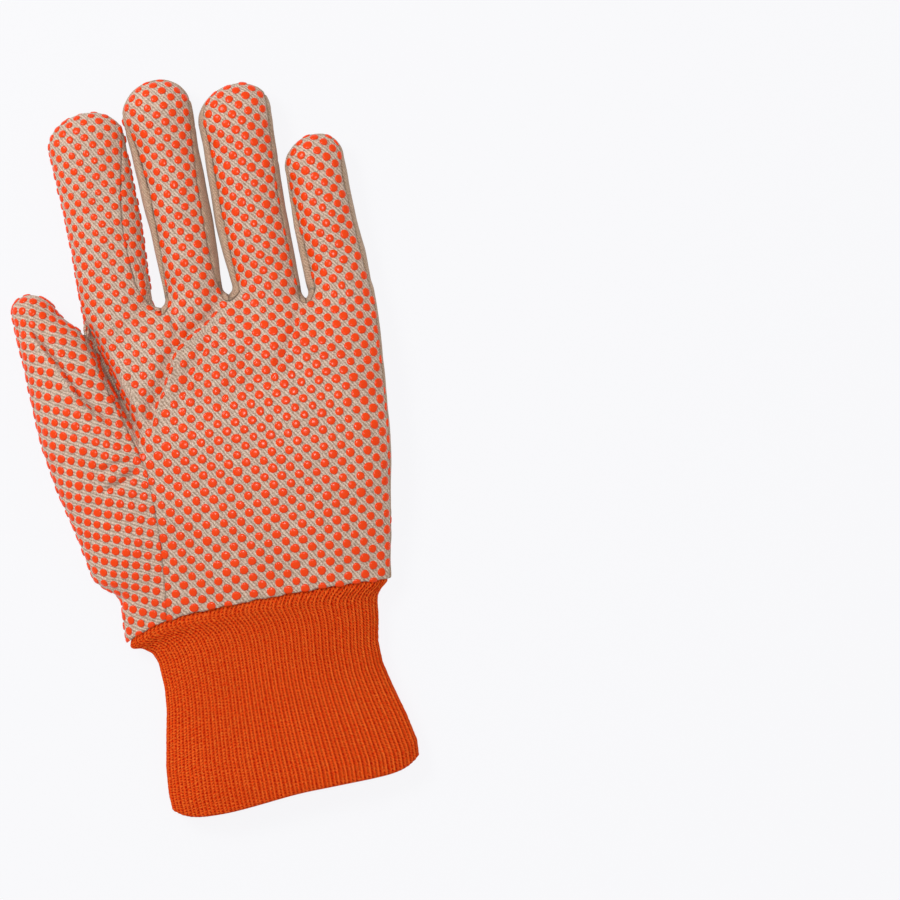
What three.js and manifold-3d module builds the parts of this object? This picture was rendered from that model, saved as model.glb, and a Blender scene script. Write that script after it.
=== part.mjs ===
// A left-hand canvas work glove with a dotted palm and a knitted wrist, lying palm up.
// Millimetres: +Z up, +Y from the wrist to the fingertips, +X from the thumb to the little finger.
// The origin is the middle of the glove's footprint, on the surface that it lies on.
import * as THREE from "three";
import { mergeVertices } from "three/addons/utils/BufferGeometryUtils.js";
import Module from "manifold-3d";

const wasm = await Module();
wasm.setup();

// Cloth
const CANVAS = 1.4; // wall of the napped canvas
const KNIT = 2.4; // wall of the doubled rib knit
const SEAM = 0.3; // open width of every seam
const CRUMB = 5; // mm3, the most that a crumb left between two crossing seams holds
const SIDE_SHARE = 0.42; // height of the widest line, as a share of the height
const FLATTEN = 1.15; // how far the underside is pressed flat on the surface
const ROOF = 24; // a height above all of the glove
const CELLAR = -2; // a height below all of it
const REACH = { x: 72, y: 140, steps: 24 }; // an outline beyond the hand, and the runs of its wrist edge

// Squareness of the cross-sections: 2 is an ellipse, more is boxier
const FINGER_POWER = 2.3;
const PALM_POWER = 2.9;
const CUFF_POWER = 2.5;

// Facets round each part, outside and inside
const FINGER_SIDES = [18, 10];
const THUMB_SIDES = [20, 12];
const PALM_SIDES = [38, 18];
const TIP_STEPS = 4; // rings on each tip
const TIP_END = 0.35; // part of a step that is left for the flat end of a tip
const TIP_DEPTH_POWER = 0.8; // a tip stays thicker than it is wide

// Fingers: both edges at the root, along the finger and at the shoulder of the tip; the tip, how far it
// reaches past the shoulder and leans to the right; the height; and the two seams between the palm-side
// cloth and the back cloth, which stand in from the edges.
const FINGERS = [
  {
    name: "index", rootLeft: -39.6, rootRight: -13.6, left: -38.8, right: -12.1, tipLeft: -39.9,
    tipRight: -12.4, tip: 124.1, reach: 11.4, lean: -0.2, height: 15.5, seamLeft: null, seamRight: -18.6,
  },
  {
    name: "middle", rootLeft: -9.4, rootRight: 11.3, left: -10, right: 12.6, tipLeft: -11.8,
    tipRight: 13.1, tip: 130, reach: 11.4, lean: 0.4, height: 16, seamLeft: -7.5, seamRight: 10,
  },
  {
    name: "ring", rootLeft: 14.8, rootRight: 38.5, left: 13.5, right: 38.9, tipLeft: 14.4,
    tipRight: 40.7, tip: 123.6, reach: 12, lean: 0.6, height: 15.5, seamLeft: 16.6, seamRight: 36.4,
  },
  {
    name: "little", rootLeft: 40.9, rootRight: 64, left: 40.5, right: 62.7, tipLeft: 41.2,
    tipRight: 62.8, tip: 100.9, reach: 10.2, lean: 0.9, height: 14, seamLeft: 42.8, seamRight: 60,
  },
];
const START = { y: 24, inset: 3.5, height: 12 }; // where a finger's tube begins, inside the palm
const ROOT_Y = [46, 55]; // where both root edges hold
const MIDDLE_SHARE = 0.35; // where the edges along the finger hold, from the root to the shoulder
const SEAM_LEVEL = 5.7; // height at which the palm-side seams end and the back seams begin

// Forks between the fingers: where the two seams of the palm-side cloth meet, and the end of the palm
const FORKS = [
  { name: "index_middle", x: -11.4, y: 50.6 },
  { name: "middle_ring", x: 13.1, y: 50.6 },
  { name: "ring_little", x: 39.7, y: 43.8 },
];
const FORK_INSET = 4.2; // from the end of the palm back to the seam, midway between two fingers
const ROOT_INSET = { x: 2.2, y: 3 }; // where it meets a finger: from the finger's edge and the palm's end
const ROOT_RUN = 8; // past a fork, where the seam has reached its line along the finger
const TIP_INSET = 2.4; // from the end of a fingertip to the seam
const TIP_TURNS = 8; // straight runs of a seam over a fingertip
const EDGE_INSET = 2.8; // from the outer edge of the hand to the seam
const FORK_WALL = 4; // past a fork, as far as the back seam saws through the end of the palm

// The seam down the index finger near its tip: in from the right edge and back from the tip, in reaches
const INDEX_TURN = { inset: 4.2, back: 0.6 };
const INDEX_SHOULDER = { inset: 3.4, back: 1.5 };
const INDEX_BELLY = 0.55; // where it stands furthest in, from the fork to the tip
const INDEX_ROOT_RUN = 14;

// Palm, from the wrist to the forks
const PALM = [
  { y: -67, left: -46.8, right: 48.6, top: 12 },
  { y: -60, left: -46.4, right: 49.8, top: 12.8 },
  { y: -52, left: -46, right: 51.2, top: 14.6 },
  { y: -42, left: -44, right: 53.8, top: 16.6 },
  { y: -30, left: -43.5, right: 55.8, top: 18.4 },
  { y: -18, left: -43.5, right: 58.3, top: 19.6 },
  { y: -6, left: -43.8, right: 60.1, top: 20.3 },
  { y: 5, left: -44, right: 61.2, top: 20.4 },
  { y: 14, left: -43.8, right: 62, top: 20 },
  { y: 22, left: -43.4, right: 62.7, top: 19.4 },
  { y: 29, left: -42.6, right: 63.2, top: 18.6 },
  { y: 35, left: -41.8, right: 63.6, top: 17.6 },
  { y: 40.5, left: -40.7, right: 63.9, top: 16.2 },
  { y: 45.5, left: -39.8, right: 63.7, top: 13.8 },
  { y: 50.6, left: -38.9, right: 62.6, top: 9.5 },
];
const PALM_FRONT = 40; // y past which the inside keeps clear of the end wall
// The end of the palm falls back towards the little finger
const FORK_DROP = { from: 14, to: 39.7, drop: 6.8 };

// Thumb and the ball of the thumb, from the wrist to the shoulder of the tip
const THUMB = [
  { y: -67, left: -46.8, right: -20, top: 10.6 },
  { y: -58, left: -46.4, right: -20, top: 11.8 },
  { y: -50.5, left: -46.3, right: -18, top: 13.2 },
  { y: -46.5, left: -48.3, right: -17, top: 14.2 },
  { y: -42.5, left: -52, right: -16, top: 15.4 },
  { y: -34, left: -55.2, right: -16, top: 17 },
  { y: -22, left: -57.6, right: -16, top: 18.6 },
  { y: -8, left: -60.6, right: -17, top: 19.6 },
  { y: 6, left: -62.3, right: -21, top: 20 },
  { y: 18, left: -63.1, right: -26.5, top: 20 },
  { y: 28, left: -63.3, right: -30.6, top: 19.6 },
  { y: 38, left: -63.7, right: -34.6, top: 18.6 },
  { y: 44, left: -64, right: -38, top: 17.8 },
  { y: 49, left: -64.2, right: -41.6, top: 16.9 },
  { y: 56, left: -64.2, right: -47.2, top: 15.2 },
];
const THUMB_REACH = 9.3; // from the shoulder to the tip
const THUMB_LEAN = -1.4; // the tip leans outwards

// Seams that end at the wrist, by y: x on the top and x on the underside
const THUMB_SEAM = [
  { y: -67, top: -31.8, under: -45 },
  { y: -50, top: -30.3, under: -44 },
  { y: -37, top: -29.3, under: -42.6 },
  { y: -15, top: -28.2, under: -42.8 },
  { y: 2, top: -28.6, under: -43.6 },
  { y: 17.4, top: -31.7, under: -44 },
  { y: 28.3, top: -34.6, under: -43.6 },
  { y: 37.1, top: -37.2, under: -42.8 },
  { y: 46.9, top: -39.9, under: -40.4 },
  { y: 50, top: -40.5, under: -40.5 },
];
const THUMB_SEAM_TOP = 19; // height that the top figures are for
const THUMB_SEAM_STEPS = 18;
const BACK_SEAMS = [
  { fork: "index_middle", knuckle: -16, wrist: -19.5 },
  { fork: "middle_ring", knuckle: 17.2, wrist: 13 },
  { fork: "ring_little", knuckle: 45.4, wrist: 45 },
];
const KNUCKLE = 26; // y of the middle figure of a back seam

// Knitted wrist: both edges by share of its length, from the canvas down to the mouth
const CUFF = [
  { share: 0, left: -45.2, right: 48.8, top: 12.2 },
  { share: 0.03, left: -45.9, right: 47, top: 12.8 },
  { share: 0.06, left: -44.6, right: 45, top: 12.6 },
  { share: 0.085, left: -41.4, right: 44, top: 12 },
  { share: 0.13, left: -38.6, right: 43.5, top: 11.4 },
  { share: 0.2, left: -37.3, right: 42.9, top: 11 },
  { share: 0.34, left: -37, right: 41.1, top: 10.8 },
  { share: 0.46, left: -37.8, right: 41.2, top: 11 },
  { share: 0.6, left: -39.8, right: 43.2, top: 11.6 },
  { share: 0.76, left: -41.9, right: 45.8, top: 12.4 },
  { share: 0.92, left: -42.9, right: 47.8, top: 13.2 },
  { share: 1, left: -42.7, right: 47.4, top: 12.6 },
];
const RIBS = 40; // every second wale of the knit
const RIB_DEPTH = 0.45;
const RIB_SIDE_POWER = 8; // ribs on the two edges are pressed in sideways
const CUFF_INSIDE_SIDES = 24;
const CUFF_OVERRUN = 0.06; // share of its length by which the inside is cut past both ends
const WRIST_SEAM = { y: -57.9, leftDrop: 5.6, leftReach: 46, rightDrop: 1.9, rightReach: 50 };
const MOUTH = { y: -130, from: -25, to: 8, rise: 1.9, corner: 4.2, cornerPower: 10 };

// Folds pressed into the top: a valley between two places, with its depth and half width
const FOLDS = [
  { name: "palm_crease_inner", x0: 8, y0: 43.5, x1: -8, y1: 38.5, depth: 1.1, width: 2.6 },
  { name: "palm_crease_middle", x0: -8, y0: 38.5, x1: -18, y1: 20, depth: 1.3, width: 3 },
  { name: "palm_crease_outer", x0: -18, y0: 20, x1: -27, y1: 3.5, depth: 1.1, width: 2.8 },
  { name: "ring_root_dent", x0: 31, y0: 35, x1: 23, y1: 16, depth: 0.9, width: 2.8 },
  { name: "thumb_fold_upper", x0: -60, y0: 52, x1: -50.5, y1: 33, depth: 1.3, width: 2.2 },
  { name: "thumb_fold_lower", x0: -50.5, y0: 33, x1: -41.5, y1: 14, depth: 1.1, width: 2.6 },
  { name: "thumb_root_tuck", x0: -43, y0: 0, x1: -32, y1: -6, depth: 0.8, width: 2.6 },
];

// The colours and finishes of the three cloths
const canvas = new THREE.MeshStandardMaterial({ color: 0xc2a286, roughness: 0.95, metalness: 0 });
const dotted = new THREE.MeshStandardMaterial({ color: 0xd9825f, roughness: 0.8, metalness: 0 });
const knit = new THREE.MeshStandardMaterial({ color: 0xd04a12, roughness: 0.95, metalness: 0 });

const lerp = THREE.MathUtils.lerp;
const smoothstep = THREE.MathUtils.smoothstep;

// How far the folds press the top down at a place
function foldDepth(x, y) {
  let depth = 0;
  for (const fold of FOLDS) {
    const line = new THREE.Line3(new THREE.Vector3(fold.x0, fold.y0), new THREE.Vector3(fold.x1, fold.y1));
    const place = new THREE.Vector3(x, y);
    const nearest = line.closestPointToPoint(place, true, new THREE.Vector3());
    const distance = nearest.distanceTo(place);
    depth = Math.max(depth, fold.depth * Math.exp(-((distance / fold.width) ** 2)));
  }
  return depth;
}

// A cross-section moved in by a wall
function thinned(section, wall) {
  const { left, right, top, base = 0 } = section;
  return { ...section, left: left + wall, right: right - wall, top: top - wall, base: base + wall };
}

// The points round a cross-section: rounded over the top, pressed flat below
function ring({ y, left, right, top, base = 0 }, sides, power) {
  const middle = (left + right) / 2;
  const half = (right - left) / 2;
  const side = base + (top - base) * SIDE_SHARE;
  return Array.from({ length: sides }, (_, i) => {
    const turn = (i / sides) * 2 * Math.PI;
    const across = Math.cos(turn);
    const rise = Math.max(0, 1 - Math.abs(across) ** power) ** (1 / power);
    const x = middle + half * across;
    const over = side + (top - side) * rise;
    const under = side - (side - base) * Math.min(1, rise * FLATTEN);
    const z = Math.sin(turn) > 0 ? over - foldDepth(x, y) * rise : under;
    return new THREE.Vector3(x, y, z);
  });
}

// A closed solid through rings that have the same number of points
function loft(rings) {
  const sides = rings[0].length;
  const points = rings.flat();
  const faces = [];
  for (let j = 0; j + 1 < rings.length; j++) {
    for (let i = 0; i < sides; i++) {
      const a = j * sides + i;
      const b = j * sides + ((i + 1) % sides);
      faces.push(a, a + sides, b, b, a + sides, b + sides);
    }
  }
  for (const [end, flip] of [[0, false], [rings.length - 1, true]]) {
    const centre = points.length;
    points.push(rings[end].reduce((sum, p) => sum.add(p), new THREE.Vector3()).divideScalar(sides));
    for (let i = 0; i < sides; i++) {
      const a = end * sides + i;
      const b = end * sides + ((i + 1) % sides);
      faces.push(centre, flip ? b : a, flip ? a : b);
    }
  }
  return solid(new THREE.BufferGeometry().setFromPoints(points).setIndex(faces));
}

// A geometry as a solid that can be joined and cut, with its faces pointing out
function solid(geometry) {
  const bare = new THREE.BufferGeometry();
  bare.setAttribute("position", geometry.getAttribute("position"));
  bare.setIndex(geometry.index);
  const merged = mergeVertices(bare, 1e-4);
  const faces = new Uint32Array(merged.index.array);
  const vertices = new Float32Array(merged.attributes.position.array);
  const closed = (triVerts) => {
    return new wasm.Manifold(new wasm.Mesh({ numProp: 3, vertProperties: vertices, triVerts }));
  };
  const made = closed(faces);
  return made.volume() > 0 ? made : closed(faces.reverse());
}

// The rounded end past a shoulder section: an elliptical nose that reaches forward and leans sideways
function nose(shoulder, reach, lean = 0) {
  const { y, left, right, top, base = 0 } = shoulder;
  const middle = (left + right) / 2;
  const level = base + (top - base) * SIDE_SHARE;
  return Array.from({ length: TIP_STEPS }, (_, i) => {
    const turn = ((i + 1) / (TIP_STEPS + TIP_END)) * (Math.PI / 2);
    const width = Math.cos(turn);
    const depth = Math.cos(turn) ** TIP_DEPTH_POWER;
    const shift = lean * Math.sin(turn);
    return {
      y: y + reach * Math.sin(turn),
      left: middle + (left - middle) * width + shift,
      right: middle + (right - middle) * width + shift,
      top: level + (top - level) * depth,
      base: level - (level - base) * depth,
    };
  });
}

// A finger's tube from inside the palm to its tip, in by a wall
function finger(row, wall, sides) {
  const shoulder = row.tip - row.reach;
  const [rootY, neckY] = ROOT_Y;
  const root = { left: row.rootLeft, right: row.rootRight, top: row.height };
  const shaft = [
    { y: START.y, left: row.rootLeft + START.inset, right: row.rootRight - START.inset, top: START.height },
    { ...root, y: rootY },
    { ...root, y: neckY },
    { y: lerp(neckY, shoulder, MIDDLE_SHARE), left: row.left, right: row.right, top: row.height },
    { y: shoulder, left: row.tipLeft, right: row.tipRight, top: row.height },
  ].map((section) => thinned(section, wall));
  const sections = [...shaft, ...nose(shaft.at(-1), row.reach - wall, row.lean)];
  return loft(sections.map((section) => ring(section, sides, FINGER_POWER)));
}

// The thumb with its ball, in by a wall
function thumb(wall, sides) {
  const shaft = THUMB.map((section) => thinned(section, wall));
  const sections = [...shaft, ...nose(shaft.at(-1), THUMB_REACH - wall, THUMB_LEAN)];
  return loft(sections.map((section) => ring(section, sides, FINGER_POWER)));
}

// How far the end of the palm falls back at x
function forkDrop(x) {
  return FORK_DROP.drop * smoothstep(x, FORK_DROP.from, FORK_DROP.to);
}

// The palm, in by a wall
function palm(wall, sides) {
  const rings = PALM.map((section) => {
    const y = section.y > PALM_FRONT ? section.y - wall : section.y;
    const points = ring({ ...thinned(section, wall), y }, sides, PALM_POWER);
    const bend = smoothstep(section.y, START.y, PALM.at(-1).y);
    for (const point of points) point.y -= forkDrop(point.x) * bend;
    return points;
  });
  return loft(rings);
}

// The line where the canvas meets the knit
function wristSeam(x) {
  const { y, leftDrop, leftReach, rightDrop, rightReach } = WRIST_SEAM;
  return y - (x < 0 ? leftDrop * (x / leftReach) ** 4 : rightDrop * (x / rightReach) ** 2);
}

// The edge of the knitted wrist's mouth, with rounded corners where across is near 1
function mouthLine(x, across) {
  const rise = MOUTH.rise * smoothstep(x, MOUTH.from, MOUTH.to);
  return MOUTH.y + rise + MOUTH.corner * Math.abs(across) ** MOUTH.cornerPower;
}

// A plan outline raised from one height to another
function prism(outline, low, high) {
  const shape = new THREE.Shape(outline.map(([x, y]) => new THREE.Vector2(x, y)));
  const raised = new THREE.ExtrudeGeometry(shape, { depth: high - low, bevelEnabled: false });
  return solid(raised.translate(0, 0, low));
}

// All of the glove past the wrist seam
function handRegion() {
  const across = Array.from({ length: REACH.steps + 1 }, (_, i) => lerp(-REACH.x, REACH.x, i / REACH.steps));
  const wrist = across.map((x) => [x, wristSeam(x)]);
  return prism([...wrist, [REACH.x, REACH.y], [-REACH.x, REACH.y]], CELLAR, ROOF);
}

// A thin wall along a seam, to saw the cloth open, from one height to another. A leaning wall has
// stations with the x where it meets the surface below as well, and stands at x at the height lean.
function kerf(line, low, high, lean = null) {
  const points = line.flatMap((station, i) => {
    const before = line[Math.max(0, i - 1)];
    const after = line[Math.min(line.length - 1, i + 1)];
    const along = new THREE.Vector2(after.x - before.x, after.y - before.y).setLength(SEAM / 2);
    const at = (z) => (lean ? lerp(station.under, station.x, z / lean) : station.x);
    const corner = (side, z) => new THREE.Vector3(at(z) - side * along.y, station.y + side * along.x, z);
    return [corner(1, low), corner(1, high), corner(-1, high), corner(-1, low)];
  });
  const faces = [];
  const quad = (p, q, r, s) => faces.push(p, q, r, p, r, s);
  const last = points.length - 4;
  quad(0, 3, 2, 1);
  quad(last, last + 1, last + 2, last + 3);
  for (let a = 0, b = 4; b <= last; a += 4, b += 4) {
    quad(a, a + 1, b + 1, b);
    quad(a + 3, b + 3, b + 2, a + 2);
    quad(a, b, b + 3, a + 3);
    quad(a + 1, a + 2, b + 2, b + 1);
  }
  return solid(new THREE.BufferGeometry().setFromPoints(points).setIndex(faces));
}

// Places in plan as the stations of an upright kerf
function stations(places) {
  return places.map(([x, y]) => ({ x, y }));
}

// The palm-side seam round one finger: up one side, over the tip and down the other, or to the wrist
function fingerSeam(row, forkBefore, forkAfter) {
  const shoulderY = row.tip - row.reach;
  const rise = row.reach - TIP_INSET;
  const middle = (row.seamLeft + row.seamRight) / 2;
  const half = (row.seamRight - row.seamLeft) / 2;
  const up = [
    [forkBefore.x - SEAM, forkBefore.y - FORK_INSET],
    [row.rootLeft + ROOT_INSET.x, forkBefore.y - ROOT_INSET.y],
    [row.seamLeft, forkBefore.y + ROOT_RUN],
  ];
  const over = Array.from({ length: TIP_TURNS + 1 }, (_, i) => {
    const turn = Math.PI * (1 - i / TIP_TURNS);
    return [middle + half * Math.cos(turn) + row.lean * Math.sin(turn), shoulderY + rise * Math.sin(turn)];
  });
  const down = forkAfter
    ? [
        [row.seamRight, forkAfter.y + ROOT_RUN],
        [row.rootRight - ROOT_INSET.x, forkAfter.y - ROOT_INSET.y],
        [forkAfter.x + SEAM, forkAfter.y - FORK_INSET],
      ]
    : [...PALM].reverse().map((section) => [section.right - EDGE_INSET, section.y]);
  return stations([...up, ...over, ...down]);
}

// The seam down the palm side of the index finger, whose cloth wraps right round it
function indexSeam(row, fork) {
  const places = [
    [(row.tipLeft + row.tipRight) / 2, row.tip - TIP_INSET],
    [row.tipRight - INDEX_TURN.inset, row.tip - row.reach * INDEX_TURN.back],
    [row.tipRight - INDEX_SHOULDER.inset, row.tip - row.reach * INDEX_SHOULDER.back],
    [row.seamRight, lerp(fork.y, row.tip, INDEX_BELLY)],
    [row.seamRight, fork.y + INDEX_ROOT_RUN],
    [row.rootRight - ROOT_INSET.x, fork.y - ROOT_INSET.y],
    [fork.x + SEAM, fork.y - FORK_INSET],
  ];
  return stations(places);
}

// All the seams of the hand, as thin walls
function seams() {
  const byName = (rows) => Object.fromEntries(rows.map((row) => [row.name, row]));
  const forks = byName(FORKS);
  const fingers = byName(FINGERS);
  const upper = [
    indexSeam(fingers.index, forks.index_middle),
    fingerSeam(fingers.middle, forks.index_middle, forks.middle_ring),
    fingerSeam(fingers.ring, forks.middle_ring, forks.ring_little),
    fingerSeam(fingers.little, forks.ring_little, null),
  ].map((line) => kerf(line, SEAM_LEVEL, ROOF));
  const lower = BACK_SEAMS.flatMap((row) => {
    const fork = forks[row.fork];
    const start = fork.y - FORK_INSET;
    const line = stations([[fork.x, start], [row.knuckle, KNUCKLE], [row.wrist, PALM[0].y]]);
    const wall = stations([[fork.x, start - SEAM], [fork.x, fork.y + FORK_WALL]]);
    return [kerf(line, CELLAR, SEAM_LEVEL), kerf(wall, CELLAR, ROOF)];
  });
  const rows = THUMB_SEAM.map((row) => new THREE.Vector3(row.top, row.y, row.under));
  const ball = new THREE.CatmullRomCurve3(rows);
  const ruled = ball.getSpacedPoints(THUMB_SEAM_STEPS).map(({ x, y, z }) => ({ x, y, under: z }));
  return [...upper, ...lower, kerf(ruled, CELLAR, ROOF, THUMB_SEAM_TOP)];
}

// The canvas hand as a hollow shell, sawn open along its seams into its pieces of cloth
function cloths() {
  const [outer, inner] = [0, CANVAS].map((wall, i) => {
    const fingers = FINGERS.map((row) => finger(row, wall, FINGER_SIDES[i]));
    const parts = [palm(wall, PALM_SIDES[i]), thumb(wall, THUMB_SIDES[i]), ...fingers];
    return parts.reduce((whole, part) => whole.add(part));
  });
  const shell = outer.subtract(inner).intersect(handRegion());
  const sawn = seams().reduce((rest, seam) => rest.subtract(seam), shell);
  return sawn.decompose().filter((made) => made.volume() > CRUMB);
}

// The knitted wrist: ribbed outside, smooth inside, open at both ends
function knitCuff() {
  const shaped = (share, section, sides, wall, ribDepth) => {
    const points = ring({ ...thinned(section, wall), y: 0 }, sides, CUFF_POWER);
    const middle = (section.left + section.right) / 2;
    const half = (section.right - section.left) / 2;
    points.forEach((point, i) => {
      const across = THREE.MathUtils.clamp((point.x - middle) / half, -1, 1);
      point.y = lerp(wristSeam(point.x) - SEAM, mouthLine(point.x, across), share);
      if (i % 2) point.z += point.z > section.top * SIDE_SHARE ? -ribDepth : 0;
      if (i % 2) point.x -= Math.sign(across) * ribDepth * across ** RIB_SIDE_POWER;
    });
    return points;
  };
  const outer = CUFF.map((row) => shaped(row.share, row, 2 * RIBS, 0, RIB_DEPTH));
  const first = { ...CUFF[0], share: -CUFF_OVERRUN };
  const last = { ...CUFF.at(-1), share: 1 + CUFF_OVERRUN };
  const inside = [first, ...CUFF.slice(1, -1), last];
  const inner = inside.map((row) => shaped(row.share, row, CUFF_INSIDE_SIDES, KNIT, 0));
  return loft(outer).subtract(loft(inner));
}

// A solid as a named mesh
function piece(name, made, material) {
  const { vertProperties, triVerts } = made.getMesh();
  const geometry = new THREE.BufferGeometry();
  geometry.setAttribute("position", new THREE.BufferAttribute(new Float32Array(vertProperties), 3));
  geometry.setIndex(new THREE.BufferAttribute(new Uint32Array(triVerts), 1));
  geometry.computeVertexNormals();
  const mesh = new THREE.Mesh(geometry, material);
  mesh.name = name;
  return mesh;
}

// The piece of cloth that lies nearest to a place
function clothAt(all, place) {
  const distance = (made) => {
    const { vertProperties, numProp } = made.getMesh();
    let least = Infinity;
    for (let i = 0; i < vertProperties.length; i += numProp) {
      const vertex = new THREE.Vector3().fromArray(vertProperties, i);
      least = Math.min(least, vertex.distanceTo(place));
    }
    return least;
  };
  return all.reduce((best, made) => (distance(made) < distance(best) ? made : best));
}

// Each piece of cloth by a place on it
const CLOTHS = [
  { name: "dotted_palm", x: 10, y: 0, z: 20, material: dotted },
  { name: "dotted_thumb", x: -63, y: 18, z: 8, material: dotted },
  { name: "back_middle", x: -2, y: -20, z: 0, material: canvas },
  { name: "back_ring", x: 28, y: -20, z: 0, material: canvas },
  { name: "back_little", x: 53, y: -20, z: 1, material: canvas },
];

const glove = new THREE.Group();
const cut = cloths();
if (cut.length !== CLOTHS.length) {
  throw new Error(`the seams make ${cut.length} pieces`);
}
for (const row of CLOTHS) {
  glove.add(piece(row.name, clothAt(cut, new THREE.Vector3(row.x, row.y, row.z)), row.material));
}
glove.add(piece("knit_cuff", knitCuff(), knit));

export default glove;
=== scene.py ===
# The looks of a left-hand canvas work glove that lies palm up: a napped twill hand, glossy rubber dots on
# the palm side and a ribbed knitted wrist. Lengths are millimetres until a mesh is made. +Y runs from the
# wrist to the fingertips, +X from the thumb to the little finger, and z is 0 on the surface below.
import math
from itertools import product

import bpy
import numpy as np
from mathutils import Matrix, Vector, noise
from mathutils.bvhtree import BVHTree
from mathutils.kdtree import KDTree


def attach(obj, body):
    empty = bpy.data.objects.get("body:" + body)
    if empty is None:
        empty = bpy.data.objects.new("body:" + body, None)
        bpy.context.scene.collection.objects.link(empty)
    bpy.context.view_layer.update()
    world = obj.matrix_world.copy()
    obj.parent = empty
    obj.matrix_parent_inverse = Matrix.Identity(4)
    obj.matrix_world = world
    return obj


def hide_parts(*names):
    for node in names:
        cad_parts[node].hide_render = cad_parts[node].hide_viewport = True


MM = 0.001


def table(columns, *rows):
    """Rows of figures under named columns, as one array for each column."""
    return dict(zip(columns.split(), np.array(rows, float).T))


def named(columns, **rows):
    """Rows of values under named columns, each row by its own name."""
    return {name: dict(zip(columns.split(), row)) for name, row in rows.items()}


CANVAS = 1.2  # wall of the canvas
KNIT = 2.4  # wall of the doubled knit
SIDE_SHARE = 0.42  # height of the widest line, as a share of the height
FLATTEN = 1.15  # how far the underside is pressed flat
SEAM_LEVEL = 5.7  # height that parts the palm-side seams from the back seams

# Squareness of the cross-sections: 2 is an ellipse, more is boxier
FINGER_POWER = 2.05
PALM_POWER = 2.9
CUFF_POWER = 2.5
HEM_POWER = 0.5  # added to that of the wrist inside the canvas

# Fingers: both edges at the root, along the finger and at the shoulder of the tip; the tip, how far it
# reaches past the shoulder and leans to the right; and the height
FINGERS = named(
    "root shaft shoulder tip reach lean height",
    index=((-39.6, -13.6), (-38.8, -12.1), (-39.9, -11.7), 124.1, 11.4, 0.6, 15.5),
    middle=((-9.4, 11.3), (-10, 12.6), (-11.95, 13.1), 130, 11.4, 1, 16),
    ring=((14.8, 38.5), (13.5, 38.9), (14.4, 40.7), 123.6, 12, 1.7, 15.5),
    little=((40.9, 64), (40.5, 62.7), (41.2, 62.8), 100.5, 10.2, 1.3, 14),
)
START_Y = 24.0  # where a finger's tube begins, inside the palm
START_INSET = 3.5
START_HEIGHT = 12.0
ROOT_Y = (46.0, 55.0)  # where both root edges hold
SHAFT_SHARE = 0.35  # where the edges along the finger hold, from the root to the shoulder

# Forks between neighbouring fingers, each the end of the palm there
FORKS = {
    ("index", "middle"): (-11.4, 50.6),
    ("middle", "ring"): (13.1, 50.6),
    ("ring", "little"): (39.7, 43.8),
}
# From the end of the palm back to the seam under the fork on the left of a finger
FORK_INSETS = {"ring": 2.8, "little": 1.8}
FORK_BLEND = 3.0  # how far a finger's meeting with the palm is rounded
THUMB_BLEND = 0.8

PALM = table(
    "y left right top",
    (-67, -46.8, 48.6, 12), (-60, -46.4, 49.8, 12.8), (-52, -46, 51.2, 14.6), (-42, -44, 53.8, 16.6),
    (-30, -43.5, 55.8, 18.4), (-18, -43.5, 58.3, 19.6), (-6, -43.8, 60.1, 20.3), (5, -44, 61.2, 20.4),
    (14, -43.8, 62, 20), (22, -43.4, 62.7, 19.4), (29, -42.6, 63.2, 18.6), (35, -41.8, 63.6, 17.6),
    (40.5, -40.2, 63.9, 16.6), (45.5, -38.2, 63.9, 15.2), (50.6, -36.8, 63.6, 13),
)
PALM_END = 50.6
PALM_UNROLLED = 60.0
FORK_DROP = dict(start=14.0, end=39.7, drop=6.8)  # the end falls back towards the little finger

THUMB = table(
    "y left right top",
    (-67, -46.8, -20, 10.6), (-58, -46.4, -20, 11.8), (-50.5, -45.9, -18, 13.2), (-48, -45.3, -17.4, 13.8),
    (-46, -47.7, -17, 14.3), (-42, -54.6, -16, 15.5), (-36, -55.2, -16, 16.6), (-28, -56.4, -16, 17.8),
    (-22, -57.6, -16, 18.6), (-8, -60.6, -17, 19.6), (6, -62.3, -21, 20), (18, -63.1, -26.5, 20),
    (28, -63.3, -30.6, 19.6), (38, -63.7, -34.6, 18.6), (44, -64, -38, 17.8), (49, -64.2, -41.6, 16.9),
    (55.5, -64.2, -47.6, 15.2), (60, -64, -49.6, 14.8),
)
THUMB_SHOULDER = 55.5
THUMB_REACH = 9.2
THUMB_LEAN = -1.8

# Seams of the palm-side cloth round the fingers, from the fork up one side, round the tip and down again
FINGER_SEAMS = {
    "middle": table(
        "y left right",
        (50.5, -8.6, 11), (58, -8.3, 9.8), (73, -7.6, 9.4), (92, -7.4, 10.2),
        (104, -8.3, 11.1), (113, -9.8, 11.9), (118.6, -10.9, 12.7),
    ),
    "ring": table(
        "y left right",
        (50.5, 17, 37.6), (66, 16.5, 37.3), (80, 16.2, 37.3),
        (94, 16.6, 38), (103, 16.9, 38.9), (111.6, 16.2, 39.6),
    ),
    "little": table(
        "y left right",
        (46.5, 43.6, 62.8), (55, 43, 62.3), (66, 42.4, 61.7),
        (78, 42, 61.3), (86, 42.1, 61.3), (90.7, 42, 62),
    ),
}
SEAM_TIP_INSET = 0.2  # from the end of a fingertip to the seam
# From the outer edge of the hand to the seam
EDGE_INSET = table("y inset", (-60, 0.2), (-40, 0.3), (-15, 0.4), (20, 0.5), (45, 0.6))
SLIT_START = (-11.6, 48.0)  # where the seam of the index finger leaves the fork
INDEX_TIP = 115.5  # from here on the seam of the index finger follows the edge round the tip
INDEX_SEAM = table(
    "y x",
    (46.6, -11), (48, -11.8), (52.4, -15), (59.3, -18.1), (68.8, -18.8), (79.3, -18.8),
    (91.4, -17.4), (106.3, -14.1), (113, -12.8), (117, -11.5), (125, -11),
)

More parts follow.
